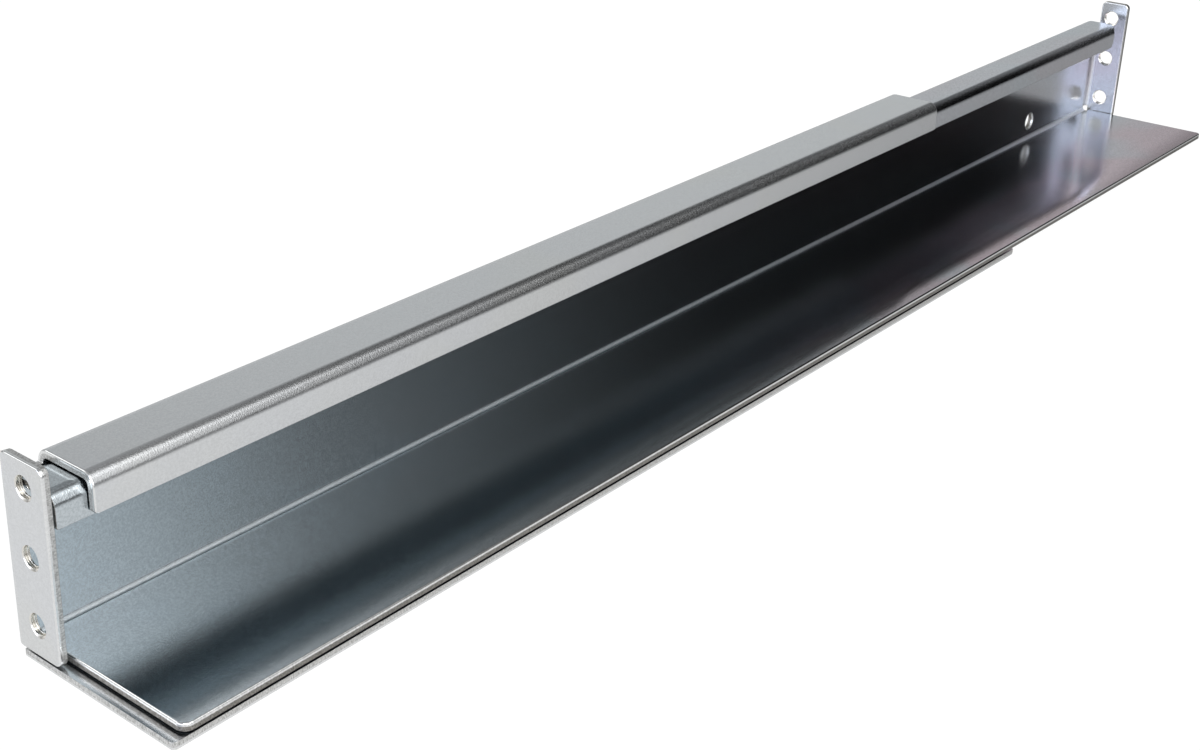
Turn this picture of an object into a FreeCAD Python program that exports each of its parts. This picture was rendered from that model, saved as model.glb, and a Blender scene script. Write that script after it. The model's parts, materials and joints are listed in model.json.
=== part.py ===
import FreeCAD, Part
import math
import os
from FreeCAD import Vector

# Telescopic support rail for a 19 inch rack, left hand, closed to its shortest depth.
# Two pieces of bent sheet steel nest in each other: front_rail is the outer one, rear_rail slides in it.
#
# Frame: the origin is the middle front threaded hole, on the face that bolts to the front post.
# +X runs from the web towards the free edge of the shelf, +Y from front to rear, +Z up. Millimetres.

# ---- Driving dimensions ---------------------------------------------------------------------------

# Sheet and fit
sheet = 1.9                    # thickness of both pieces, 14 gauge steel
inside_radius = 1.4            # inside radius of every bend
running_clearance = 0.3        # between the two nested pieces, at the webs, hooks and front flange
plate_gap = 0.6                # between the shelf and the lower plate
end_gap = 0.3                  # between a flange and the plate that ends at it

# Section, seen along the rail
web_to_hole = 9.2              # outer face of the outer web to the line of mounting holes
overall_width = 50.8           # outer web face to the free edge of the plates
hook_top = 18.0                # top of the outer hook above the middle mounting hole
shelf_below_hole = 21.7        # shelf surface below the middle mounting hole
outer_hook_width = 18.4        # outer web face to the outside of the hook
outer_hook_depth = 9.1         # top of the outer hook to the edge of its lip
inner_lip_drop = 0.9           # edge of the inner lip below the edge of the outer lip

# Lengths, from the front mounting face
closed_depth = 508.0           # front mounting face to rear mounting face
front_rail_length = 350.0
plate_setback = 0.2            # front edge of the lower plate
shelf_setback = 3.0            # front edge of the shelf
outer_hook_setback = 10.0      # front end of the outer hook
inner_hook_stop = 10.6         # rear end of the inner hook's top, ahead of the rear mounting face
inner_lip_stop = 13.9          # rear end of its lip; the bend between them ends at a slant
corner_relief = 0.6            # notch past a bend where two bends would meet

# Mounting flanges
hole_pitch = 15.875            # three holes of one rack unit
holes_per_flange = 3
thread_bore = 5.0              # core of an M6 thread
flange_top = 21.9              # above the middle hole
flange_bottom = 23.6           # below the middle hole
front_flange_edge = 6.7        # hole line to the free side
rear_flange_edge = 6.0
ear_inset = 0.6                # rear ear edge from the inner face of its web

# Round corners and the hole in the inner web
flange_corner = 1.8
bend_corner = 3.5              # corner of the front flange that runs into its bend
ear_corner = 2.0
plate_corner = 1.2
shelf_front_corner = 2.5
shelf_rear_corner = 1.5
outer_lip_front_corner = 1.0
outer_lip_rear_corner = 0.5
inner_lip_front_corner = 0.5
inner_lip_rear_corner = 2.5
web_hole = 6.4                 # diameter
web_hole_height = 6.5          # centre above the shelf
web_hole_from_end = 51.0       # centre ahead of the rear edge of the shelf

# ---- Worked out from the driving dimensions --------------------------------------------------------

outside_radius = inside_radius + sheet
nest = sheet + running_clearance                       # inner piece inside the outer one
web_face = -web_to_hole
shelf_surface = -shelf_below_hole
shelf_low = shelf_surface - sheet
underside = shelf_low - plate_gap - sheet
hook_side = web_face + outer_hook_width
free_edge = web_face + overall_width
outer_lip_edge = hook_top - outer_hook_depth
inner_lip_edge = outer_lip_edge - inner_lip_drop
rear_flange_face = closed_depth - sheet                # its front side
shelf_end = rear_flange_face - end_gap
inner_hook_end = closed_depth - inner_hook_stop
inner_lip_end = closed_depth - inner_lip_stop
inner_hook_setback = sheet + running_clearance         # butts on the front flange when the rail is closed
reach = 2.0 * overall_width                            # longer than any panel is wide

X = Vector(1, 0, 0)
Y = Vector(0, 1, 0)
Z = Vector(0, 0, 1)


# ---- Bent sheet -----------------------------------------------------------------------------------

def left_of(direction):
    """Unit normal on the left of a flat direction."""
    return Vector(-direction.y, direction.x, 0).normalize()


def add_line(edges, start, end):
    """Add a straight edge, unless its ends are the same point."""
    if start.distanceToPoint(end) > 1e-6:
        edges.append(Part.makeLine(start, end))


def skin(path, offset):
    """Lines and arcs that follow a flat path at a signed distance to its left."""
    middle_radius = inside_radius + sheet / 2
    edges = []
    here = path[0] + left_of(path[1] - path[0]) * offset
    for before, corner, after in zip(path, path[1:], path[2:]):
        first = corner - before
        second = after - corner
        turn = math.copysign(1.0, first.cross(second).z)
        setback = middle_radius * math.tan(first.getAngle(second) / 2)
        centre = corner - first.normalize() * setback + left_of(first) * (turn * middle_radius)
        arm = turn * middle_radius - offset
        start = centre - left_of(first) * arm
        crown = centre - (left_of(first) + left_of(second)).normalize() * arm
        end = centre - left_of(second) * arm
        add_line(edges, here, start)
        edges.append(Part.Arc(start, crown, end).toShape())
        here = end
    add_line(edges, here, path[-1] + left_of(path[-1] - path[-2]) * offset)
    return edges


def strip(path):
    """Flat face of one sheet bent along a path, which is the middle of its thickness."""
    one_side = skin(path, sheet / 2)
    other_side = skin(path, -sheet / 2)
    ends = []
    for tip, towards in ((path[0], path[1] - path[0]), (path[-1], path[-1] - path[-2])):
        across = left_of(towards) * (sheet / 2)
        add_line(ends, tip - across, tip + across)
    return Part.Face(Part.Wire(Part.__sortEdges__(one_side + other_side + ends)))


def sheet_along_rail(path, front, rear):
    """Sheet bent to a path of (X, Z) points and drawn out along the rail."""
    face = strip([Vector(x, z, 0) for x, z in path])
    face.rotate(Vector(), X, 90)
    face.translate(Y * front)
    return face.extrude(Y * (rear - front))


def sheet_upright(path, low, high):
    """Sheet bent to a path of (X, Y) points and drawn upwards."""
    face = strip([Vector(x, y, 0) for x, y in path])
    face.translate(Z * low)
    return face.extrude(Z * (high - low))


def block(x_range, y_range, z_range):
    """Box between three pairs of limits."""
    low, high = (Vector(*ends) for ends in zip(x_range, y_range, z_range))
    size = high - low
    return Part.makeBox(size.x, size.y, size.z, low)


def round_corner(solid, corner, inward, sideways, radius):
    """Round off a square corner of a panel. Both directions lie in the panel, away from the corner."""
    start = corner + inward * radius
    end = corner + sideways * radius
    middle = corner + (inward + sideways) * (radius * (1 - math.sqrt(0.5)))
    arc = Part.Arc(start, middle, end).toShape()
    outline = Part.Wire([Part.makeLine(corner, start), arc, Part.makeLine(end, corner)])
    through = inward.cross(sideways).normalize() * (2 * sheet)
    waste = Part.Face(outline)
    waste.translate(-through)
    return solid.cut(waste.extrude(through * 2))


def section_path(plate_low, inset, lip_edge):
    """Middle of the sheet from the free edge of the plate, up the web and over to the hook's lip."""
    low = plate_low + sheet / 2
    left = web_face + inset + sheet / 2
    high = hook_top - inset - sheet / 2
    right = hook_side - inset - sheet / 2
    return [(free_edge, low), (left, low), (left, high), (right, high), (right, lip_edge)]


def mounting_holes(solid, front):
    """Bore the three threaded holes of one rack unit through a flange."""
    for number in range(holes_per_flange):
        height = (number - (holes_per_flange - 1) / 2) * hole_pitch
        bore = Part.makeCylinder(thread_bore / 2, 3 * sheet, Vector(0, front - sheet, height), Y)
        solid = solid.cut(bore)
    return solid


# ---- Front rail, the outer piece ------------------------------------------------------------------

def front_rail():
    bend_line = web_face + outside_radius              # where the flange and the lower plate turn flat
    web_low = underside + outside_radius
    web_high = hook_top - outside_radius

    body = sheet_along_rail(section_path(underside, 0, outer_lip_edge), plate_setback, front_rail_length)
    body = body.cut(block((-reach, reach), (-reach, outer_hook_setback), (web_high, reach)))
    body = body.cut(block((-reach, bend_line), (-reach, outside_radius), (-reach, reach)))
    body = body.cut(block((-reach, bend_line), (-reach, outside_radius + corner_relief), (-reach, web_low)))

    middle = web_face + sheet / 2
    flange = sheet_upright([(front_flange_edge, sheet / 2), (middle, sheet / 2), (middle, outside_radius)],
                           -flange_bottom, flange_top)
    flange = flange.cut(block((-reach, reach), (sheet, reach), (web_high, reach)))
    flange = flange.cut(block((-reach, reach), (sheet, reach), (-reach, web_low)))
    for height, inward in ((flange_top, -Z), (-flange_bottom, Z)):
        flange = round_corner(flange, Vector(front_flange_edge, 0, height), inward, -X, flange_corner)
        flange = round_corner(flange, Vector(web_face, 0, height), inward, X, bend_corner)
    flange = mounting_holes(flange, 0)

    rail = body.fuse(flange).removeSplitter()
    for end, inward in ((plate_setback, Y), (front_rail_length, -Y)):
        rail = round_corner(rail, Vector(free_edge, end, underside), inward, -X, plate_corner)
    front_end = Vector(hook_side, outer_hook_setback, outer_lip_edge)
    rear_end = Vector(hook_side, front_rail_length, outer_lip_edge)
    rail = round_corner(rail, front_end, Y, Z, outer_lip_front_corner)
    return round_corner(rail, rear_end, -Y, Z, outer_lip_rear_corner)


# ---- Rear rail, the inner piece -------------------------------------------------------------------

def slant_waste(x_range, y_range):
    """Upright wedge outside the slanted line from (low x, high y) to (high x, low y)."""
    corners = [Vector(x_range[0], y_range[1], 0), Vector(x_range[1], y_range[0], 0),
               Vector(x_range[1], y_range[1], 0)]
    return Part.Face(Part.makePolygon(corners + corners[:1])).extrude(Z * reach)


def inner_sheet():
    """The long bent sheet of the rear rail, without its flange."""
    outer_face = web_face + nest
    bend_line = outer_face + outside_radius
    bend_start = closed_depth - outside_radius
    web_low = shelf_low + outside_radius
    web_high = hook_top - nest - outside_radius
    side = hook_side - nest

    body = sheet_along_rail(section_path(shelf_low, nest, inner_lip_edge), inner_hook_setback, shelf_end)
    for x_range, z_range in (((-reach, bend_line), (-reach, reach)), ((-reach, reach), (-reach, 0))):
        body = body.cut(block(x_range, (0, shelf_setback), z_range))
    body = body.cut(block((-reach, reach), (inner_hook_end, 2 * closed_depth), (web_high, reach)))
    body = body.cut(block((side - sheet, reach), (inner_lip_end, 2 * closed_depth), (0, web_high)))
    body = body.cut(slant_waste((side - outside_radius, side), (inner_lip_end, inner_hook_end)))
    body = body.cut(block((-reach, bend_line), (bend_start, 2 * closed_depth), (-reach, reach)))
    body = body.cut(block((-reach, bend_line), (bend_start - corner_relief, 2 * closed_depth),
                          (-reach, web_low)))
    hole_centre = Vector(outer_face - sheet, shelf_end - web_hole_from_end, shelf_surface + web_hole_height)
    return body.cut(Part.makeCylinder(web_hole / 2, 3 * sheet, hole_centre, X))


def rear_flange():
    """Rear mounting flange with the bend that joins it to the inner web."""
    outer_face = web_face + nest
    web_low = shelf_low + outside_radius
    web_high = hook_top - nest - outside_radius
    ear_side = outer_face + sheet + ear_inset
    middle = outer_face + sheet / 2
    flange_middle = closed_depth - sheet / 2
    path = [(middle, closed_depth - outside_radius), (middle, flange_middle), (rear_flange_edge, flange_middle)]
    flange = sheet_upright(path, -flange_bottom, flange_top)
    for low, high in ((web_high, reach), (-reach, web_low)):
        flange = flange.cut(block((-reach, reach), (0, rear_flange_face), (low, high)))
        flange = flange.cut(block((-reach, ear_side), (0, 2 * closed_depth), (low, high)))
    for height, inward in ((flange_top, -Z), (-flange_bottom, Z)):
        right = Vector(rear_flange_edge, rear_flange_face, height)
        left = Vector(ear_side, rear_flange_face, height)
        flange = round_corner(flange, right, inward, -X, flange_corner)
        flange = round_corner(flange, left, inward, X, ear_corner)
    return mounting_holes(flange, rear_flange_face)


def rear_rail():
    rail = inner_sheet().fuse(rear_flange()).removeSplitter()
    rail = round_corner(rail, Vector(free_edge, shelf_setback, shelf_low), Y, -X, shelf_front_corner)
    rail = round_corner(rail, Vector(free_edge, shelf_end, shelf_low), -Y, -X, shelf_rear_corner)
    side = hook_side - nest
    front_end = Vector(side, inner_hook_setback, inner_lip_edge)
    rear_end = Vector(side, inner_lip_end, inner_lip_edge)
    rail = round_corner(rail, front_end, Y, Z, inner_lip_front_corner)
    return round_corner(rail, rear_end, -Y, Z, inner_lip_rear_corner)


# ---- Export ---------------------------------------------------------------------------------------

os.makedirs("parts", exist_ok=True)
for name, make in (("front_rail", front_rail), ("rear_rail", rear_rail)):
    piece = make()
    box = piece.BoundBox
    print(name, "valid", piece.isValid(), "solids", len(piece.Solids), "faces", len(piece.Faces),
          "volume", round(piece.Volume),
          "x", round(box.XMin, 2), round(box.XMax, 2), "y", round(box.YMin, 2), round(box.YMax, 2),
          "z", round(box.ZMin, 2), round(box.ZMax, 2))
    piece.exportStep("parts/" + name + ".step")
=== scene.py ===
"""Looks of a telescopic rack support rail: two pieces of bent and zinc plated sheet, one inside the other.

Each piece is drawn as the flat blank that it is punched from and then folded, as the real one is made.
A point of the blank has three coordinates, in millimetres:
  u   along the section, from the free edge of the plate, up the web and over to the lip of the hook
  v   along the rail, and on past the end of the web into the mounting flange
  w   through the sheet, from its middle towards the outside of the bends
"""
import json
import math
from collections import namedtuple

import bmesh
import bpy
import numpy as np
from mathutils import Matrix, Vector


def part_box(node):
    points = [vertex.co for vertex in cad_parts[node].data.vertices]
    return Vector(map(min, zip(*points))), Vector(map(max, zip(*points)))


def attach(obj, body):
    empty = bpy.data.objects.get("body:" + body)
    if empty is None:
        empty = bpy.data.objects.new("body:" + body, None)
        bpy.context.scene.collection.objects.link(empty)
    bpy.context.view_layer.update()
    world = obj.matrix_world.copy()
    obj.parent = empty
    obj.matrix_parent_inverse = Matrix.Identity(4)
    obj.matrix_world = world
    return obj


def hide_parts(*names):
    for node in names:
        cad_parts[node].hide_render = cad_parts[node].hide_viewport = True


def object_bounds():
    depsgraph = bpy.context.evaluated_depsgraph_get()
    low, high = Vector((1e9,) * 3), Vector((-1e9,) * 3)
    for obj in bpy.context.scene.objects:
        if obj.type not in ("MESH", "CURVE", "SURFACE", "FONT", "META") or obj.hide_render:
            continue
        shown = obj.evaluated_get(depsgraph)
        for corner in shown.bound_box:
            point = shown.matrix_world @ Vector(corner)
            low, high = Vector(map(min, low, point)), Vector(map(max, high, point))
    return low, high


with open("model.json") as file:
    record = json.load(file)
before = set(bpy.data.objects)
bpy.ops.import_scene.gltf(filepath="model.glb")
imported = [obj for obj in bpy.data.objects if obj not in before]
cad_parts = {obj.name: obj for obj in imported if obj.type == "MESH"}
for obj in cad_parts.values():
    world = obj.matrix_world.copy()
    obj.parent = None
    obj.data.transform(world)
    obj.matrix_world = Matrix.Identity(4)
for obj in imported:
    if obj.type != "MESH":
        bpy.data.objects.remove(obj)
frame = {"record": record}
cad_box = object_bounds()

MM = 0.001

# ---- Sheet, section and corners, in millimetres ----------------------------------------------------

SHEET = 1.9
INSIDE_RADIUS = 1.4
CLEARANCE = 0.3
PLATE_GAP = 0.6                           # between the shelf and the lower plate
NEST = SHEET + CLEARANCE                  # the inner piece lies this far inside the outer one
BEND_RADIUS = INSIDE_RADIUS + SHEET       # outside of every bend
MIDDLE_RADIUS = INSIDE_RADIUS + SHEET / 2
BEND_LENGTH = MIDDLE_RADIUS * math.pi / 2

HEIGHT = 44.1                             # underside to the top of the hook
HOOK_WIDTH = 18.4
OUTER_HOOK_DEPTH = 9.1
INNER_LIP_DROP = 0.9
OUTER_HOOK_SETBACK = 10.0
INNER_HOOK_STOP = 10.6
INNER_LIP_STOP = 13.9
PLATE_SETBACK = 0.2
SHELF_SETBACK = 3.0
END_GAP = 0.3
CORNER_RELIEF = 0.6
EAR_INSET = 0.6
FLANGE_BOTTOM = 23.6
FRONT_FLANGE_EDGE = 6.7
REAR_FLANGE_EDGE = 6.0

FLANGE_CORNER = 1.8
BEND_CORNER = 3.5
EAR_CORNER = 2.0
PLATE_CORNER = 1.2
SHELF_FRONT_CORNER = 2.5
SHELF_REAR_CORNER = 1.5
OUTER_LIP_FRONT_CORNER = 1.0
OUTER_LIP_REAR_CORNER = 0.5
INNER_LIP_FRONT_CORNER = 0.5
INNER_LIP_REAR_CORNER = 2.5
SMALL_CORNER = 0.3                        # corners that the punch leaves in the notches
SLANT_CORNER = 0.05

ROLLED_EDGE = 0.42                        # round shoulder where the punch went in
SHARP_EDGE = 0.12                         # and where it came out
HOLE_EDGE = 0.12
THREAD_PITCH = 1.0
THREAD_DEPTH = 0.5
THREAD_MOUTH = 0.25                       # countersink of a threaded hole, on the radius
THREAD_LIP = 0.05                         # flat ring on both faces round a threaded hole
FRONT_EAR_STEP = 1.0                      # the front flange's ear grows to its full width over this length

BEND_STEPS = 14
CORNER_STEPS = 8
SLANT_STEPS = 4
EDGE_STEPS = 4
HOLE_STEPS = 64
THREAD_RINGS = 26
TINY = 1e-7
SLOPE_STEP = 1e-3                         # step at which a thread's slope is measured


# ---- Flat outlines ---------------------------------------------------------------------------------

def rounded(corners):
    """Points and outward normals of a closed outline of (u, v, radius) corners, run anticlockwise."""
    points = []
    normals = []
    count = len(corners)
    for k in range(count):
        before = np.array(corners[k - 1][:2])
        corner = np.array(corners[k][:2])
        after = np.array(corners[(k + 1) % count][:2])
        radius = corners[k][2]
        into = (corner - before) / np.linalg.norm(corner - before)
        out = (after - corner) / np.linalg.norm(after - corner)
        turn = math.atan2(into[0] * out[1] - into[1] * out[0], into @ out)
        side = math.copysign(1.0, turn)
        first = math.atan2(-into[0], into[1])
        left = np.array([-into[1], into[0]])
        centre = corner - into * radius * math.tan(abs(turn) / 2) + left * side * radius
        for step in range(CORNER_STEPS + 1):
            angle = first + turn * step / CORNER_STEPS
            normal = np.array([math.cos(angle), math.sin(angle)])
            points.append(centre + normal * side * radius)
            normals.append(normal)
    return np.array(points), np.array(normals)


def circle(u, v):
    """Centre of a hole, unit directions round it and their angles."""
    angles = np.arange(HOLE_STEPS) * 2 * math.pi / HOLE_STEPS
    return np.array([u, v]), np.stack([np.cos(angles), np.sin(angles)], 1), angles


# ---- Rings that close the thickness of the sheet ---------------------------------------------------

def add_ring(bm, layers, flat, height, normals, cut):
    """One closed ring of vertices. cut is 1 on a punched edge, -1 in a thread and 0 on the sheet's faces."""
    ring = []
    for (u, v), normal in zip(flat, normals):
        vertex = bm.verts.new((u, v, height))
        vertex[layers["normal"]] = Vector(normal)
        vertex[layers["cut"]] = cut
        ring.append(vertex)
    return ring


def skin(bm, rings, flip):
    """Quads between rings that follow each other. Returns the edges of the first and the last ring."""
    for one, two in zip(rings, rings[1:]):
        for k in range(len(one)):
            quad = [one[k - 1], one[k], two[k], two[k - 1]]
            if flip:
                quad.reverse()
            bm.faces.new(quad)
    ends = []
    for ring in (rings[0], rings[-1]):
        ends.append([bm.edges.get((ring[k - 1], ring[k])) for k in range(len(ring))])
    return ends


def edge_profile(outer, inner):
    """(inset, height, slope) down a cut edge with two round shoulders, from the outside of the bends in."""
    half = SHEET / 2
    steps = []
    for face, radius in ((1, outer), (-1, inner)):
        for k in range(EDGE_STEPS + 1):
            angle = math.pi / 2 * (1 - k / EDGE_STEPS)
            inset = radius * (1 - math.cos(angle))
            steps.append((inset, face * (half - radius * (1 - math.sin(angle))), face * angle))
    return steps[:EDGE_STEPS + 1] + steps[:EDGE_STEPS:-1]


def edge_rings(bm, layers, points, normals, shoulders):
    """Rings down a cut edge that runs through points. The normals lie flat and point out of the sheet."""
    rings = []
    for inset, height, angle in edge_profile(*shoulders):
        slope = [(n[0] * math.cos(angle), n[1] * math.cos(angle), math.sin(angle)) for n in normals]
        cut = 0.0 if abs(height) > SHEET / 2 - TINY else 1.0
        rings.append(add_ring(bm, layers, points - normals * inset, height, slope, cut))
    return rings


def cut_rim(bm, layers, points, normals, rolled):
    """Outer edge of a blank. rolled is 1 if the punch went in on the outside of the bends, and -1 if not."""
    shoulders = (ROLLED_EDGE, SHARP_EDGE)[::rolled]
    return skin(bm, edge_rings(bm, layers, points, normals, shoulders), True)


def plain_hole(bm, layers, place, radius):
    """Punched hole."""
    centre, rays, _ = circle(*place)
    return skin(bm, edge_rings(bm, layers, centre + rays * radius, -rays, (HOLE_EDGE, HOLE_EDGE)), False)


def thread_radius(angles, height, core):
    """Radius of a tapped hole: a single start thread with flat crests, opened a little at both faces."""
    turns = np.mod(height / THREAD_PITCH + angles / (2 * math.pi), 1.0)
    ramp = 1 - np.abs(2 * turns - 1)
    thread = core + THREAD_DEPTH * np.clip((ramp - 0.25) / 0.62, 0, 1)
    mouth = core + THREAD_MOUTH - (SHEET / 2 - abs(height))
    return np.maximum(thread, mouth)


def thread_normals(rays, angles, height, core):
    """Normals round a tapped hole at one height, from the slopes of its radius."""
    above = thread_radius(angles, height + SLOPE_STEP, core)
    below = thread_radius(angles, height - SLOPE_STEP, core)
    ahead = thread_radius(angles + SLOPE_STEP, height, core)
    behind = thread_radius(angles - SLOPE_STEP, height, core)
    rise = (above - below) / (2 * SLOPE_STEP)
    twist = (ahead - behind) / (2 * SLOPE_STEP) / thread_radius(angles, height, core)
    tangents = np.stack([-rays[:, 1], rays[:, 0]], 1)
    return np.column_stack([tangents * twist[:, None] - rays, rise])


def threaded_hole(bm, layers, place, core):
    """Tapped hole of a mounting flange."""
    centre, rays, angles = circle(*place)
    half = SHEET / 2

    def face_ring(face):
        flat = centre + rays * (thread_radius(angles, half * face, core) + THREAD_LIP)[:, None]
        return add_ring(bm, layers, flat, half * face, [(0, 0, face)] * len(rays), 0.0)

    rings = [face_ring(1)]
    for height in np.linspace(half - THREAD_LIP, THREAD_LIP - half, THREAD_RINGS):
        flat = centre + rays * thread_radius(angles, height, core)[:, None]
        rings.append(add_ring(bm, layers, flat, height, thread_normals(rays, angles, height, core), -1.0))
    rings.append(face_ring(-1))
    return skin(bm, rings, False)


def blank(outline, holes, rolled):
    """Flat blank as a mesh, with a layer of exact normals and a layer that marks the cut edges."""
    bm = bmesh.new()
    layers = {"normal": bm.verts.layers.float_vector.new("flat_normal"),
              "cut": bm.verts.layers.float.new("cut")}
    tops = []
    bottoms = []
    loops = [cut_rim(bm, layers, *rounded(outline), rolled)]
    loops += [make(bm, layers, place, size) for make, place, size in holes]
    for top, bottom in loops:
        tops += top
        bottoms += bottom
    for edges, way in ((tops, 1), (bottoms, -1)):
        made = bmesh.ops.triangle_fill(bm, use_beauty=True, use_dissolve=False, edges=edges,
                                       normal=(0, 0, way))
        for face in made["geom"]:
            if isinstance(face, bmesh.types.BMFace):
                face.normal_update()
                if face.normal.z * way < 0:
                    face.normal_flip()
    return bm, layers


# ---- Folding ---------------------------------------------------------------------------------------

class Bent:
    """Middle line of a bent sheet: straight runs joined by right-angled bends, every bend to the right."""

    def __init__(self, start, heading, runs):
        self.pieces = []
        distance = 0.0
        point = np.array(start, float)
        for k, run in enumerate(runs):
            if k:
                self.pieces.append((distance, point, heading, 1 / MIDDLE_RADIUS))
                point = self.at(np.array([distance + BEND_LENGTH]))[0][0]
                distance += BEND_LENGTH
                heading -= math.pi / 2
            self.pieces.append((distance, point, heading, 0.0))
            point = point + np.array([math.cos(heading), math.sin(heading)]) * run
            distance += run
        self.length = distance

    def bends(self):
        """Start of every bend along the line."""
        return [piece[0] for piece in self.pieces if piece[3]]

    def at(self, distances):
        """Points of the middle line and headings at the given distances along it."""
        points = np.zeros((len(distances), 2))
        headings = np.zeros(len(distances))
        for k, (first, start, heading, curve) in enumerate(self.pieces):
            on = distances >= first - 1e-9 if k else np.ones(len(distances), bool)
            past = distances[on] - first
            now = heading - curve * past
            if curve:
                aside = math.sin(heading) - np.sin(now)
                ahead = np.cos(now) - math.cos(heading)
                offset = np.stack([aside, ahead], 1) / curve
            else:
                offset = np.stack([math.cos(heading) * past, math.sin(heading) * past], 1)
            points[on] = start + offset
            headings[on] = now
        return points, headings


# line is the middle line of the flange's section, and bend_line the place along the rail where it starts.
# way is -1 at the front end and 1 at the rear. low is the web's lower end, and the flange goes at most reach
# below it.
Flange = namedtuple("Flange", "line bend_line way low reach")


def slice_bends(bm, section, flange):
    """Cut the blank along closely spaced lines, so that every bend folds as a fine curve."""
    def cut_across(position, direction, keep):
        faces = [f for f in bm.faces if keep(f.calc_center_median())]
        edges = {e for f in faces for e in f.edges}
        verts = {v for f in faces for v in f.verts}
        bmesh.ops.bisect_plane(bm, geom=faces + list(edges) + list(verts), dist=1e-5,
                               plane_co=position, plane_no=direction)

    fold_at = flange.bend_line
    way = flange.way
    cut_across((0, fold_at, 0), (0, 1, 0), lambda c: True)
    for start in section.bends():
        for step in range(BEND_STEPS + 1):
            place = (start + BEND_LENGTH * step / BEND_STEPS, 0, 0)
            cut_across(place, (1, 0, 0), lambda c: (c.y - fold_at) * way < 0)
    for step in range(1, BEND_STEPS + 1):
        place = (0, fold_at + way * BEND_LENGTH * step / BEND_STEPS, 0)
        cut_across(place, (0, 1, 0), lambda c: (c.y - fold_at) * way > 0)


def sheet_frame(headings):
    """Unit vectors along a bent sheet and out of it."""
    along = np.stack([np.cos(headings), np.sin(headings)], 1)
    out = np.stack([-np.sin(headings), np.cos(headings)], 1)
    return along, out


def fold_section(co, normal, section):
    """Places and normals of the points that lie in the rail's section."""
    u, v, w = co.T
    middle, headings = section.at(u)
    along, out = sheet_frame(headings)
    flat = middle + out * w[:, None]
    face = along * normal[:, 0:1] + out * normal[:, 2:3]
    return np.stack([flat[:, 0], v, flat[:, 1]], 1), np.stack([face[:, 0], normal[:, 1], face[:, 1]], 1)


def fold_flange(co, normal, flange, low_height):
    """Places and normals of the points that lie in the flange. low_height is the height of flange.low."""
    u, v, w = co.T
    middle, headings = flange.line.at((v - flange.bend_line) * flange.way)
    along, out = sheet_frame(headings)
    flat = middle + out * w[:, None]
    face = along * normal[:, 1:2] * flange.way + out * normal[:, 2:3]
    depth = flange.bend_line + flange.way * flat[:, 1]
    return (np.stack([flat[:, 0], depth, low_height + u - flange.low], 1),
            np.stack([face[:, 0], flange.way * face[:, 1], normal[:, 0]], 1))


def fold(bm, layers, section, flange):
    """Bend the blank. Returns vertex positions, normals and how much each one is bent, from 0 to 1."""
    co = np.array([v.co for v in bm.verts])
    normal = np.array([v[layers["normal"]] for v in bm.verts])
    normal /= np.linalg.norm(normal, axis=1)[:, None]
    past = (co[:, 1] - flange.bend_line) * flange.way
    upright = (past > -TINY) & (co[:, 0] > flange.low - flange.reach)
    lying = ~upright

    place = np.zeros_like(co)
    turned = np.zeros_like(co)
    place[lying], turned[lying] = fold_section(co[lying], normal[lying], section)
    low_height = section.at(np.array([flange.low]))[0][0, 1]
    place[upright], turned[upright] = fold_flange(co[upright], normal[upright], flange, low_height)

    bent = np.zeros(len(co))
    for start in section.bends():
        bent[lying] += np.sin(math.pi * np.clip((co[lying, 0] - start) / BEND_LENGTH, 0, 1))
    bent[upright] = np.sin(math.pi * np.clip(past[upright] / BEND_LENGTH, 0, 1))
    return place, turned, bent


def bent_piece(name, outline, holes, rolled, rail):
    """Punch, fold and finish one rail as a mesh object, in metres."""
    bm, layers = blank(outline, holes, rolled)
    slice_bends(bm, rail.section, rail.flange)
    place, normals, bent = fold(bm, layers, rail.section, rail.flange)
    sheet_place = np.array([v.co for v in bm.verts], np.float32)
    for vertex, point in zip(bm.verts, place):
        vertex.co = Vector(point) * MM
    for face in bm.faces:
        face.smooth = True
    mesh = bpy.data.meshes.new(name)
    bm.to_mesh(mesh)
    bm.free()
    mesh.attributes.new("blank", "FLOAT_VECTOR", "POINT").data.foreach_set("vector", sheet_place.ravel())
    mesh.attributes.new("bend", "FLOAT", "POINT").data.foreach_set("value", bent.astype(np.float32))
    mesh.normals_split_custom_set_from_vertices([tuple(n) for n in normals])
    piece = bpy.data.objects.new(name, mesh)
    bpy.context.scene.collection.objects.link(piece)
    return piece


# ---- The two rails ---------------------------------------------------------------------------------

def millimetres(corner):
    """Corner of a box, from metres."""
    return [value / MM for value in corner]


def mounts(start):
    """(x, y, z, radius) of the mounts whose names start so, from the record."""
    found = [m for m in frame["record"]["mounts"] if m["name"].startswith(start)]
    return [(*millimetres(m["pos_m"]), m["dims"]["r_mm"]) for m in found]


# section and flange are the folded shapes. side is the x and top_bend the height at which the web's bends
# start. The other values are places on the blank: flange_end is along the rail, the rest along the section.
Rail = namedtuple("Rail", "section flange side top_bend plate web_low web_high lip ear_low ear_high "
                          "flange_end")


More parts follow.
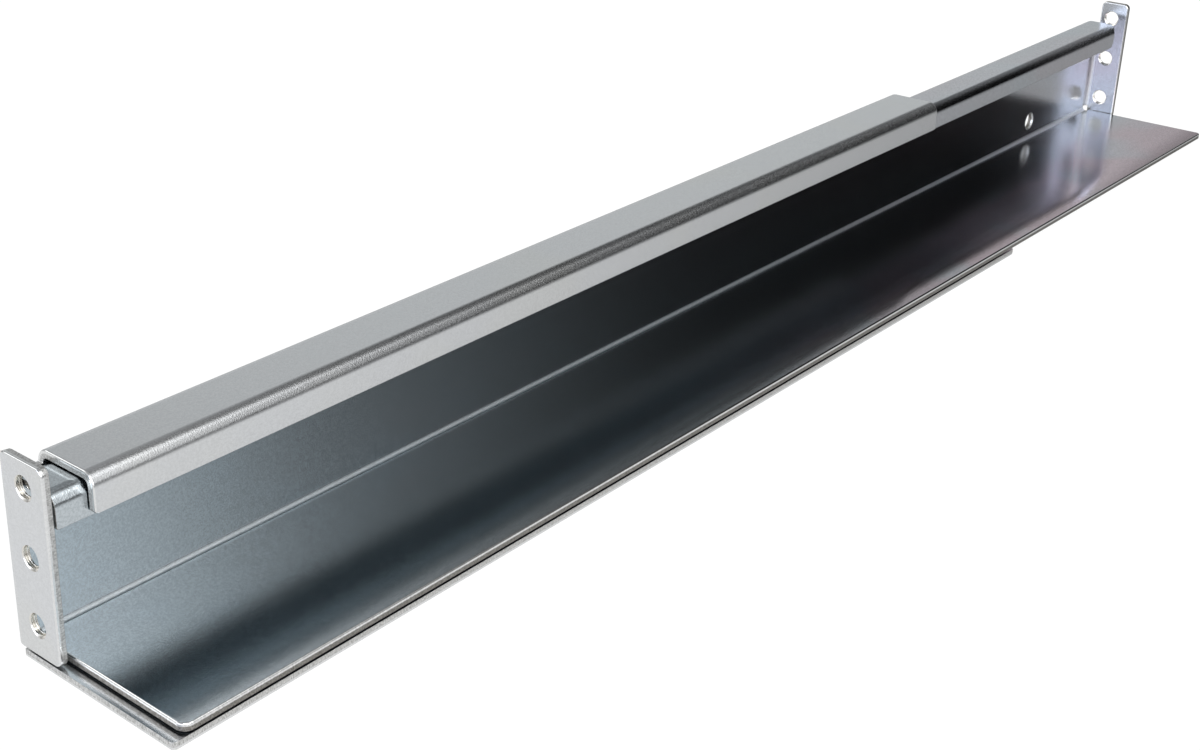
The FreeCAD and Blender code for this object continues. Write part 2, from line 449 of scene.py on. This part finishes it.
def rail_shape(low, high, plate_low, hook_top, hook_width, hook_depth, flange_edge, bend_line, way):
    """Shape of one rail. low and high are the corners of its box, the rest are sizes of the folded rail."""
    side = low[0] + BEND_RADIUS
    top_bend = hook_top - BEND_RADIUS
    plate = high[0] - side
    web = top_bend - plate_low - BEND_RADIUS
    lip = hook_depth - BEND_RADIUS
    section = Bent((high[0], plate_low + SHEET / 2), math.pi, [plate, web, hook_width - 2 * BEND_RADIUS, lip])
    web_low = plate + BEND_LENGTH
    web_high = web_low + web
    ear_drop = plate_low + BEND_RADIUS + FLANGE_BOTTOM
    ear_rise = high[2] - top_bend
    flange_run = flange_edge - side
    flange_end = bend_line + way * (BEND_LENGTH + flange_run)
    line = Bent((low[0] + SHEET / 2, 0), math.pi / 2, [0, flange_run])
    flange = Flange(line, bend_line, way, web_low, ear_drop + SMALL_CORNER)
    return Rail(section, flange, side, top_bend, plate, web_low, web_high, section.length - lip,
                web_low - ear_drop, web_high + ear_rise, flange_end)


def thread_holes(end, rail):
    """Threaded holes of one flange, on the blank."""
    holes = []
    for x, _, z, core in mounts(end + "_thread"):
        along = rail.flange.bend_line + rail.flange.way * (BEND_LENGTH + x - rail.side)
        holes.append((threaded_hole, (rail.web_high + z - rail.top_bend, along), core))
    return holes


def front_rail():
    """The outer piece, whose flange is bent off the front end."""
    low, high = (millimetres(c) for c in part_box("front_rail"))
    rail = rail_shape(low, high, low[2], low[2] + HEIGHT, HOOK_WIDTH, OUTER_HOOK_DEPTH, FRONT_FLANGE_EDGE,
                      BEND_RADIUS, -1)
    ear_start = BEND_RADIUS - MIDDLE_RADIUS * math.asin((BEND_RADIUS - SHEET) / BEND_RADIUS)
    relief = BEND_RADIUS + CORNER_RELIEF
    lip_end = rail.section.length
    outline = [
        (0, PLATE_SETBACK, PLATE_CORNER),
        (rail.plate, PLATE_SETBACK, SMALL_CORNER),
        (rail.plate, relief, SMALL_CORNER),
        (rail.web_low, relief, SMALL_CORNER),
        (rail.web_low, ear_start, SMALL_CORNER),
        (rail.ear_low, ear_start - FRONT_EAR_STEP, SMALL_CORNER),
        (rail.ear_low, rail.flange_end, FLANGE_CORNER),
        (rail.ear_high, rail.flange_end, FLANGE_CORNER),
        (rail.ear_high, ear_start, BEND_CORNER),
        (rail.web_high, ear_start, SMALL_CORNER),
        (rail.web_high, OUTER_HOOK_SETBACK, SMALL_CORNER),
        (lip_end, OUTER_HOOK_SETBACK, OUTER_LIP_FRONT_CORNER),
        (lip_end, high[1], OUTER_LIP_REAR_CORNER),
        (0, high[1], PLATE_CORNER),
    ]
    return bent_piece("front_rail_sheet", outline, thread_holes("front", rail), 1, rail)


def slanted_end(lip_start, hook_rear, lip_rear):
    """Corners of the inner hook's rear end, which slants forward round the bend between hook and lip."""
    corners = []
    for step in range(SLANT_STEPS + 1):
        angle = math.pi / 2 * (1 - step / SLANT_STEPS)
        corners.append((lip_start - MIDDLE_RADIUS * (math.pi / 2 - angle),
                        hook_rear - (hook_rear - lip_rear) * math.sin(angle), SLANT_CORNER))
    return corners


def rear_rail():
    """The inner piece, whose flange is bent off the rear end."""
    low, high = (millimetres(c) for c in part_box("rear_rail"))
    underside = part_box("front_rail")[0].z / MM
    bend_line = high[1] - BEND_RADIUS
    rail = rail_shape(low, high, underside + SHEET + PLATE_GAP, underside + HEIGHT - NEST,
                      HOOK_WIDTH - 2 * NEST, OUTER_HOOK_DEPTH - NEST + INNER_LIP_DROP, REAR_FLANGE_EDGE,
                      bend_line, 1)
    ear_side = low[0] + SHEET + EAR_INSET
    ear_start = bend_line + MIDDLE_RADIUS * math.acos((rail.side - ear_side) / MIDDLE_RADIUS)
    shelf_end = high[1] - SHEET - END_GAP
    hook_rear = high[1] - INNER_HOOK_STOP
    lip_rear = high[1] - INNER_LIP_STOP
    hook_low = rail.web_high + BEND_LENGTH
    lip_end = rail.section.length
    outline = [
        (0, SHELF_SETBACK, SHELF_FRONT_CORNER),
        (hook_low, SHELF_SETBACK, SMALL_CORNER),
        (hook_low, low[1], SMALL_CORNER),
        (lip_end, low[1], INNER_LIP_FRONT_CORNER),
        (lip_end, lip_rear, INNER_LIP_REAR_CORNER),
        *slanted_end(rail.lip, hook_rear, lip_rear),
        (rail.web_high, hook_rear, SMALL_CORNER),
        (rail.web_high, ear_start, SMALL_CORNER),
        (rail.ear_high, ear_start, EAR_CORNER),
        (rail.ear_high, rail.flange_end, FLANGE_CORNER),
        (rail.ear_low, rail.flange_end, FLANGE_CORNER),
        (rail.ear_low, ear_start, EAR_CORNER / 2),
        (rail.web_low, ear_start, SMALL_CORNER),
        (rail.web_low, bend_line - CORNER_RELIEF, SMALL_CORNER),
        (rail.plate, bend_line - CORNER_RELIEF, SMALL_CORNER),
        (rail.plate, shelf_end, SMALL_CORNER),
        (0, shelf_end, SHELF_REAR_CORNER),
    ]
    holes = thread_holes("rear", rail)
    for _, y, z, radius in mounts("web_hole"):
        holes.append((plain_hole, (rail.web_high + z - rail.top_bend, y), radius))
    return bent_piece("rear_rail_sheet", outline, holes, -1, rail)


# ---- Materials -------------------------------------------------------------------------------------

# tints drift into each other over the sheet, torn holds the darkest and the lightest tone of a torn edge,
# pressed is the roughness that a bend gains on its inside, speckle and grain are strengths, droop says how
# much the free edge looks bent down, and rolled is 1 where the punch went in on the outside of the bends and
# -1 where it went in on the inside.
Finish = namedtuple("Finish", "name tints torn roughness pressed speckle grain droop rolled")

OUTER_FINISH = Finish("zinc_outer", ((0.73, 0.745, 0.76), (0.71, 0.74, 0.75), (0.74, 0.75, 0.74)),
                      ((0.42, 0.42, 0.41), (0.76, 0.76, 0.75)), 0.22, 0.05, 0.03, 0.1, 0.0, 1)
INNER_FINISH = Finish("zinc_inner", ((0.55, 0.60, 0.63), (0.63, 0.525, 0.565), (0.55, 0.61, 0.65)),
                      ((0.13, 0.12, 0.11), (0.34, 0.33, 0.31)), 0.12, 0.25, 0.08, 0.1, 0.06, -1)
WORN_TINT = (0.80, 0.80, 0.80)
CUT_TINT = (0.82, 0.83, 0.83)
THREAD_TINT = (0.82, 0.80, 0.75)

OUTSIDE_PRESSED = 0.04                    # roughness that a bend gains on its outside
TORN_ROUGHNESS = 0.25
ROUGHNESS_SPREAD = 0.03
HAZE = 0.09                               # roughness that the rear end gains
HAZE_START = 400.0                        # along the rail
HAZE_END = 470.0

TORN_START = 0.50                         # depth below the rolled face at which a punched edge is torn
TORN_BLEND = 0.12
TORN_WAVE = 0.4
TORN_RELIEF = 0.3                         # heights of the relief, in units of RELIEF
BEND_GRAIN = 3.0                          # how much more grain shows where the sheet is stretched
LINE_SHARE = 0.4                          # rolling lines, as a share of the grain
DROOP_WIDTH = 8.0                         # from the free edge in
DROOP_FRONT = 0.3                         # share of the droop at the front end
DROOP_LENGTH = 260.0                      # along the rail, to where it is full
RELIEF = 0.0001                           # metres

SCRATCHES = ((0.45, 7.0, 0.16, 0.74), (-1.1, 5.0, 0.14, 0.76))     # angle, length, width, rarity


def add(tree, kind, inputs, **settings):
    """New node. Its inputs are values, sockets, or nodes whose first output is used."""
    made = tree.nodes.new(kind)
    for name, value in settings.items():
        setattr(made, name, value)
    for key, value in inputs.items():
        if isinstance(value, bpy.types.Node):
            value = value.outputs[0]
        if isinstance(value, bpy.types.NodeSocket):
            tree.links.new(value, made.inputs[key])
        else:
            made.inputs[key].default_value = value
    return made


def empty_material(name):
    """New material without nodes, and its node tree."""
    material = bpy.data.materials.new(name)
    material.use_nodes = True
    material.node_tree.nodes.clear()
    return material, material.node_tree


def attribute(tree, name, output):
    """A value that the mesh carries."""
    return add(tree, "ShaderNodeAttribute", {}, attribute_name=name).outputs[output]


def noise(tree, place, stretch, detail, roughness=0.5):
    """Noise from 0 to 1 whose cells are 1 / stretch millimetres along u, v and w."""
    scaled = add(tree, "ShaderNodeVectorMath", {0: place, 1: stretch}, operation="MULTIPLY")
    return add(tree, "ShaderNodeTexNoise", {"Vector": scaled, "Scale": 1.0, "Detail": detail,
                                            "Roughness": roughness})


def ramp(tree, value, low, high, to_low, to_high):
    """Smooth step from to_low to to_high as value goes from low to high."""
    return add(tree, "ShaderNodeMapRange", {"Value": value, "From Min": low, "From Max": high,
                                            "To Min": to_low, "To Max": to_high},
               interpolation_type="SMOOTHSTEP", clamp=True)


def blend(tree, share, one, two):
    """Colour that goes from one to two as share goes from 0 to 1."""
    inputs = {0: share}
    for key, value in ((6, one), (7, two)):
        inputs[key] = (*value, 1.0) if isinstance(value, tuple) else value
    return add(tree, "ShaderNodeMix", inputs, data_type="RGBA").outputs[2]


def maths(tree, operation, one, two):
    return add(tree, "ShaderNodeMath", {0: one, 1: two}, operation=operation)


def product(tree, *factors):
    """All factors multiplied. At least one of the first two is a node or a socket."""
    total = factors[0]
    for factor in factors[1:]:
        total = maths(tree, "MULTIPLY", total, factor)
    return total


def scaled_vector(tree, vector, scale):
    return add(tree, "ShaderNodeVectorMath", {0: vector, "Scale": scale}, operation="SCALE")


def scratches(tree, place, angle, length, width, rarity):
    """1 in straight fine scratches and 0 beside them. The sizes are in millimetres."""
    turned = add(tree, "ShaderNodeVectorRotate", {"Vector": place, "Angle": angle}, rotation_type="Z_AXIS")
    lines = noise(tree, turned, (1 / width, 1 / length, 0.0), 1.0)
    return ramp(tree, lines, rarity, rarity + 0.05, 0.0, 1.0)


def worn_share(tree, place):
    """Share of the scratches, which are denser in some patches than in others."""
    crossed = [scratches(tree, place, *sizes) for sizes in SCRATCHES]
    patches = ramp(tree, noise(tree, place, (0.03, 0.02, 0.0), 1.0), 0.45, 0.6, 0.1, 0.6)
    return product(tree, maths(tree, "MAXIMUM", *crossed), patches)


def torn_band(tree, place, through, cut, rolled):
    """Share of the torn part of a punched edge, which starts below the smooth band that the punch left."""
    depth = maths(tree, "SUBTRACT", SHEET / 2, product(tree, through, float(rolled)))
    wave = product(tree, noise(tree, place, (1.5, 1.5, 0.0), 3.0), TORN_WAVE)
    below = maths(tree, "SUBTRACT", depth, wave)
    return product(tree, ramp(tree, below, TORN_START, TORN_START + TORN_BLEND, 0.0, 1.0), cut)


def plating_tint(tree, place, across, along, tints):
    """Tint of the plating: the first turns into the second towards the rear, with clouds of the third."""
    rearward = product(tree, ramp(tree, along, 120.0, 430.0, 0.0, 0.8),
                       ramp(tree, across, 12.0, 34.0, 1.0, 0.25))
    clouds = product(tree, noise(tree, place, (0.04, 0.012, 0.0), 2.0), 0.4)
    drift = maths(tree, "ADD", rearward, clouds)
    bands = noise(tree, place, (0.03, 0.03, 0.0), 1.0)
    colour = blend(tree, ramp(tree, drift, 0.2, 0.85, 0.0, 1.0), tints[0], tints[1])
    return blend(tree, ramp(tree, bands, 0.5, 0.7, 0.0, 0.6), colour, tints[2])


def edge_tint(tree, place, colour, cut, torn, thread, tones):
    """Punched edges and threads laid over the colour of the sheet."""
    crumbs = noise(tree, place, (3.2, 3.2, 1.6), 3.0, 0.7)
    broken = blend(tree, ramp(tree, crumbs, 0.35, 0.62, 0.0, 1.0), *tones)
    colour = blend(tree, cut, colour, CUT_TINT)
    colour = blend(tree, torn, colour, broken)
    return blend(tree, thread, colour, THREAD_TINT)


def sheet_roughness(tree, fine, along, through, bend, torn, finish):
    """Roughness, higher in bends, in torn edges and towards the rear end."""
    smoothest = finish.roughness - ROUGHNESS_SPREAD
    even = ramp(tree, fine, 0.3, 0.7, smoothest, smoothest + 2 * ROUGHNESS_SPREAD)
    haze = ramp(tree, along, HAZE_START, HAZE_END, 0.0, HAZE)
    pressed = product(tree, bend, ramp(tree, through, -0.3, 0.3, finish.pressed, OUTSIDE_PRESSED))
    total = maths(tree, "ADD", even, haze)
    total = maths(tree, "ADD", total, pressed)
    return maths(tree, "ADD", total, product(tree, torn, TORN_ROUGHNESS))


def edge_droop(tree, across, along, strength):
    """How far the free edge is bent down, more towards the rear."""
    inward = maths(tree, "MAXIMUM", maths(tree, "SUBTRACT", DROOP_WIDTH, across), 0.0)
    share = ramp(tree, along, 0.0, DROOP_LENGTH, DROOP_FRONT * strength, strength)
    return product(tree, inward, inward, share)


def sheet_relief(tree, place, fine, bend, torn, grain):
    """Height of the grain, of the rolling lines and of the torn edges."""
    lines = noise(tree, place, (4.0, 0.05, 0.0), 2.0, 0.5)
    ragged = noise(tree, place, (2.8, 2.8, 1.2), 3.0, 0.65)
    stretched = maths(tree, "ADD", product(tree, bend, BEND_GRAIN), 1.0)
    grains = product(tree, fine, grain, stretched)
    sheet = maths(tree, "ADD", grains, product(tree, lines, grain * LINE_SHARE))
    return maths(tree, "ADD", sheet, product(tree, torn, ragged, TORN_RELIEF))


def zinc(finish):
    """Bright zinc plating on cold rolled sheet."""
    material, tree = empty_material(finish.name)
    place = attribute(tree, "blank", "Vector")
    across, along, through = add(tree, "ShaderNodeSeparateXYZ", {0: place}).outputs
    mark = attribute(tree, "cut", "Fac")
    bend = attribute(tree, "bend", "Fac")
    cut = maths(tree, "MAXIMUM", mark, 0.0)
    thread = maths(tree, "MAXIMUM", product(tree, mark, -1.0), 0.0)
    torn = torn_band(tree, place, through, cut, finish.rolled)
    mottle = noise(tree, place, (2.4, 2.0, 0.5), 2.0, 0.6)
    fine = noise(tree, place, (4.0, 3.6, 0.8), 2.0, 0.6)

    colour = plating_tint(tree, place, across, along, finish.tints)
    colour = blend(tree, worn_share(tree, place), colour, WORN_TINT)
    colour = edge_tint(tree, place, colour, cut, torn, thread, finish.torn)
    shade = ramp(tree, mottle, 0.38, 0.62, 1.0 - finish.speckle, 1.0 + finish.speckle)

    height = sheet_relief(tree, place, fine, bend, torn, finish.grain)
    height = maths(tree, "SUBTRACT", height, edge_droop(tree, across, along, finish.droop))
    bump = add(tree, "ShaderNodeBump", {"Strength": 1.0, "Distance": RELIEF, "Height": height})
    rough = sheet_roughness(tree, fine, along, through, bend, torn, finish)
    shader = add(tree, "ShaderNodeBsdfPrincipled", {"Base Color": scaled_vector(tree, colour, shade),
                                                    "Metallic": 1.0, "Roughness": rough, "Normal": bump})
    add(tree, "ShaderNodeOutputMaterial", {"Surface": shader})
    return material


# ---- Floor, light and camera -----------------------------------------------------------------------

ROOM = (0.32, 0.325, 0.33)

# azimuth from +Y towards +X, elevation, half width, half height in degrees, and the tangent of the soft edge
DARK_CARDS = [
    (38, 35, 30, 42, 0.12),                           # on the right, behind
    (-4, 42, 22, 13, 0.15),                           # overhead, behind
]
SOFTBOXES = [
    ((68, 36, 11, 29, 0.14), (1.32, 1.32, 1.32)),     # on the right
    ((112, 18, 24, 14, 0.20), (2.40, 2.40, 2.40)),    # on the right, in front
    ((52, 29, 3, 12, 0.26), (0.65, 0.65, 0.65)),      # glow of the right one on the wall
    ((50, 57, 12, 15, 0.20), (1.70, 1.70, 1.70)),     # on the right, high
    ((26, 42, 16, 9, 0.20), (0.07, 0.07, 0.07)),      # glow of the high one on the wall
    ((-10, 68, 12, 18, 0.30), (0.25, 0.25, 0.25)),    # overhead
    ((-46, 13, 27, 18, 0.06), (0.27, 0.28, 0.28)),    # behind, on the left
    ((178, 13, 32, 18, 0.20), (2.05, 2.15, 2.45)),    # in front
    ((-126, 35, 16, 16, 0.25), (1.60, 1.60, 1.60)),   # in front, on the left
]

FLOOR_SIZE = 12.0
WHITE = 1.06                                          # a little over white, so that the floor looks even
FLOOR_GLOW = 0.92                                     # the rest of the floor shows the object's shadow


def direction(azimuth, elevation):
    """Unit vector, azimuth in degrees from +Y towards +X."""
    a, e = math.radians(azimuth), math.radians(elevation)
    return (math.sin(a) * math.cos(e), math.cos(a) * math.cos(e), math.sin(e))


def softbox(tree, looking, azimuth, elevation, width, height, edge):
    """Share of a rectangular source that is seen. Half angles are in degrees, the soft edge is a tangent."""
    centre = Vector(direction(azimuth, elevation))
    right = Vector(direction(azimuth + 90, 0))
    dots = []
    for axis in (centre, right, right.cross(centre)):
        dot = add(tree, "ShaderNodeVectorMath", {0: looking, 1: axis}, operation="DOT_PRODUCT")
        dots.append(dot.outputs["Value"])
    ahead = maths(tree, "MAXIMUM", dots[0], 0.001)
    sides = []
    for dot, half in ((dots[1], width), (dots[2], height)):
        offset = maths(tree, "ABSOLUTE", maths(tree, "DIVIDE", dot, ahead), 0.0)
        reach = math.tan(math.radians(half))
        sides.append(ramp(tree, offset, reach - edge, reach + edge, 1.0, 0.0))
    return product(tree, *sides)


def seen_plainly(tree):
    """1 for rays from the camera or through something clear, and the node that tells the kinds of rays."""
    rays = add(tree, "ShaderNodeLightPath", {})
    return maths(tree, "MAXIMUM", rays.outputs["Is Camera Ray"], rays.outputs["Is Transmission Ray"]), rays


def studio_world():
    """A grey room with dark cards and large soft sources, which the metal mirrors. Behind, it is white."""
    world = bpy.data.worlds.new("studio")
    world.use_nodes = True
    tree = world.node_tree
    tree.nodes.clear()
    looking = add(tree, "ShaderNodeTexCoord", {}).outputs["Generated"]
    total = ROOM
    for card in DARK_CARDS:
        total = scaled_vector(tree, total, maths(tree, "SUBTRACT", 1.0, softbox(tree, looking, *card)))
    for box, colour in SOFTBOXES:
        light = scaled_vector(tree, colour, softbox(tree, looking, *box))
        total = add(tree, "ShaderNodeVectorMath", {0: total, 1: light}, operation="ADD")
    plain, _ = seen_plainly(tree)
    colour = blend(tree, plain, total, (1.0, 1.0, 1.0))
    sky = add(tree, "ShaderNodeBackground", {"Color": colour, "Strength": 1.0})
    add(tree, "ShaderNodeOutputWorld", {"Surface": sky})
    bpy.context.scene.world = world


def soft_lamp(name, place, target, size, power):
    """Round area lamp that looks at target."""
    data = bpy.data.lights.new(name, "AREA")
    data.shape = "DISK"
    data.size = size
    data.energy = power
    lamp = bpy.data.objects.new(name, data)
    lamp.location = place
    lamp.rotation_euler = (Vector(target) - Vector(place)).to_track_quat("-Z", "Y").to_euler()
    bpy.context.scene.collection.objects.link(lamp)


def pale_floor():
    """Near white to the camera. In the metal's mirror it fades towards the rear and the right."""
    material, tree = empty_material("pale_floor")
    plain, rays = seen_plainly(tree)
    position = add(tree, "ShaderNodeNewGeometry", {}).outputs["Position"]
    spot = add(tree, "ShaderNodeSeparateXYZ", {0: position})
    mirrored = product(tree, ramp(tree, spot.outputs["Y"], -0.05, 0.60, 0.86, 0.38),
                       ramp(tree, spot.outputs["X"], 0.08, 0.24, 1.0, 0.4))
    strength = maths(tree, "MAXIMUM", product(tree, plain, WHITE), mirrored)
    seen = maths(tree, "MAXIMUM", plain, rays.outputs["Is Glossy Ray"])
    paint = add(tree, "ShaderNodeBsdfDiffuse", {"Color": (0.9, 0.9, 0.9, 1.0)})
    white = add(tree, "ShaderNodeEmission", {"Color": (1.0, 1.0, 1.0, 1.0), "Strength": strength})
    mixed = add(tree, "ShaderNodeMixShader", {0: product(tree, seen, FLOOR_GLOW), 1: paint, 2: white})
    add(tree, "ShaderNodeOutputMaterial", {"Surface": mixed})
    return material


def floor(height):
    """Plain pale floor, which keeps a faint shadow."""
    bm = bmesh.new()
    bmesh.ops.create_grid(bm, x_segments=1, y_segments=1, size=FLOOR_SIZE / 2)
    mesh = bpy.data.meshes.new("floor")
    bm.to_mesh(mesh)
    bm.free()
    made = bpy.data.objects.new("floor", mesh)
    made.location.z = height
    bpy.context.scene.collection.objects.link(made)
    mesh.materials.append(pale_floor())


def camera():
    """The photograph's view: from the right, in front and above."""
    azimuth, elevation, roll = (math.radians(value) for value in (41.535, 23.801, 0.432))
    back = Vector((math.sin(azimuth) * math.cos(elevation), -math.cos(azimuth) * math.cos(elevation),
                   math.sin(elevation)))
    right = Vector((math.cos(azimuth), math.sin(azimuth), 0.0))
    up = back.cross(right)
    level = Matrix((right, up, back)).transposed()
    data = bpy.data.cameras.new("camera")
    data.sensor_width = 36.0
    data.lens = 53.37
    data.shift_x = 0.105
    data.shift_y = -0.0462
    made = bpy.data.objects.new("camera", data)
    made.matrix_world = Matrix.Translation((0.26751, -0.16944, 0.18669)) @ (
        level @ Matrix.Rotation(roll, 3, "Z")).to_4x4()
    bpy.context.scene.collection.objects.link(made)
    bpy.context.scene.camera = made


# ---- Scene -----------------------------------------------------------------------------------------

for make, node, slot, finish in (
        (front_rail, "front_rail", "zinc_front_rail", OUTER_FINISH),
        (rear_rail, "rear_rail", "zinc_rear_rail", INNER_FINISH)):
    piece = make()
    piece.data.materials.append(zinc(finish))
    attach(piece, node)
    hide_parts(node)

floor(cad_box[0].z)
studio_world()
soft_lamp("key", (1.1, -0.9, 1.5), (0.0, 0.2, 0.0), 1.2, 14.0)
camera()
bpy.context.scene.view_settings.view_transform = "Standard"
